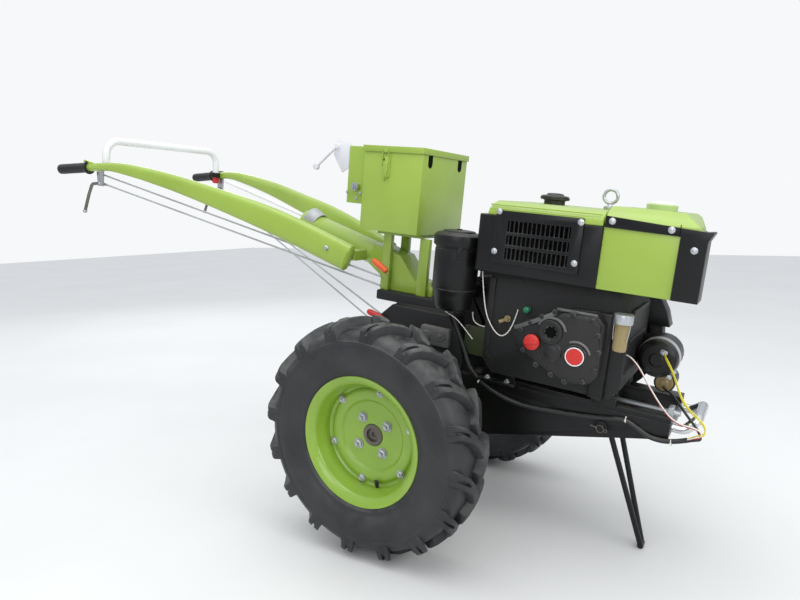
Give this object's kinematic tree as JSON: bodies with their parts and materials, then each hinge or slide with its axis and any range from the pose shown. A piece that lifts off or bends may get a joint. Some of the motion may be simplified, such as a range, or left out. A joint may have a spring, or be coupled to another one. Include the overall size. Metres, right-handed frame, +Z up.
{
  "type": "two-wheel walking tractor with a horizontal diesel engine",
  "caption": "Walking tractor: lugged wheels, horizontal diesel with radiator and tank, belt drive, battery box, handlebars and a folding front stand.",
  "frame": {"origin": "on the ground, under the middle of the machine's length and width", "axes": "+X forward, +Y to the machine's left, +Z up; the machine rests nose down on its wheels and front stand"},
  "size_m": [2.1742, 0.89, 1.1938],
  "materials": {
    "green_paint": "gloss paint over pressed steel",
    "black_paint": "satin black paint",
    "cast_black": "painted rough casting",
    "zinc": "bright zinc plate",
    "chrome": "bright chrome plate",
    "steel": "machined steel",
    "white_paint": "aluminium-white paint",
    "tyre": "dusty black rubber",
    "rubber": "moulded rubber",
    "red_plastic": "red moulded plastic",
    "brass_bowl": "tinned brass",
    "battery_case": "moulded case",
    "cable": "cable sheath"
  },
  "bodies": {
    "chassis": {"air_cleaner": "black_paint", "axle_housing_left": "cast_black", "axle_housing_right": "cast_black", "battery": "battery_case", "battery_box": "green_paint", "belt_guard": "black_paint", "box_bracket": "green_paint", "box_fittings": "green_paint", "brake_rod": "white_paint", "cable_loom": "cable", "clutch_housing": "cast_black", "control_rods": "zinc", "cover_caps": "red_plastic", "crossbar": "white_paint", "cylinder_head": "cast_black", "engine_block": "cast_black", "engine_rails": "black_paint", "filler_caps": "black_paint", "filter_bowl": "brass_bowl", "filter_head": "zinc", "flywheel_guard": "black_paint", "frame_front": "black_paint", "frame_side_left": "black_paint", "frame_side_right": "black_paint", "front_bumper": "chrome", "fuel_tank": "green_paint", "gear_cover": "cast_black", "gearbox": "cast_black", "grille": "black_paint", "grips": "rubber", "handle_arm_left": "green_paint", "handle_arm_right": "green_paint", "handle_stem": "green_paint", "hitch": "cast_black", "hood": "green_paint", "lifting_eye": "zinc", "muffler": "black_paint", "radiator_shroud": "black_paint", "stand_pin": "zinc", "starter_motor": "black_paint", "steering_levers": "steel", "switch_box": "green_paint", "tank_frame": "black_paint", "tension_rod": "zinc", "thin_wires": "cable", "throttle_lever": "zinc", "v_belts": "rubber"},
    "wheel_left": {"tyre_left": "tyre", "rim_left": "green_paint", "hub_left": "steel"},
    "wheel_right": {"tyre_right": "tyre", "rim_right": "green_paint", "hub_right": "steel"},
    "stand": {"stand": "black_paint"},
    "battery_lid": {"battery_lid": "green_paint"},
    "flywheel": {"flywheel": "cast_black"},
    "clutch": {"clutch_pulley": "cast_black"}
  },
  "joints": [
    {"name": "wheel_left_spin", "type": "hinge", "parent": "chassis", "child": "wheel_left", "pos_m": [0.31978, 0, 0.32], "axis": [0, 1, 0], "continuous": true},
    {"name": "wheel_right_spin", "type": "hinge", "parent": "chassis", "child": "wheel_right", "pos_m": [0.31978, 0, 0.32], "axis": [0, 1, 0], "continuous": true},
    {"name": "stand_fold", "type": "hinge", "parent": "chassis", "child": "stand", "pos_m": [0.85264, 0, 0.35865], "axis": [0, 1, 0], "range_deg": [0, 98]},
    {"name": "battery_lid_open", "type": "hinge", "parent": "chassis", "child": "battery_lid", "pos_m": [0.24559, 0.181, 1.07433], "axis": [-0.9935, 0, 0.1137], "range_deg": [0, 105]},
    {"name": "flywheel_spin", "type": "hinge", "parent": "chassis", "child": "flywheel", "pos_m": [0.75987, 0.19, 0.55951], "axis": [0, 1, 0], "continuous": true},
    {"name": "clutch_spin", "type": "hinge", "parent": "chassis", "child": "clutch", "pos_m": [0.32816, 0.19, 0.51632], "axis": [0, 1, 0], "continuous": true}
  ],
  "couplings": [
    {"joint": "clutch_spin", "follows": "flywheel_spin", "ratio": 0.59016}
  ]
}
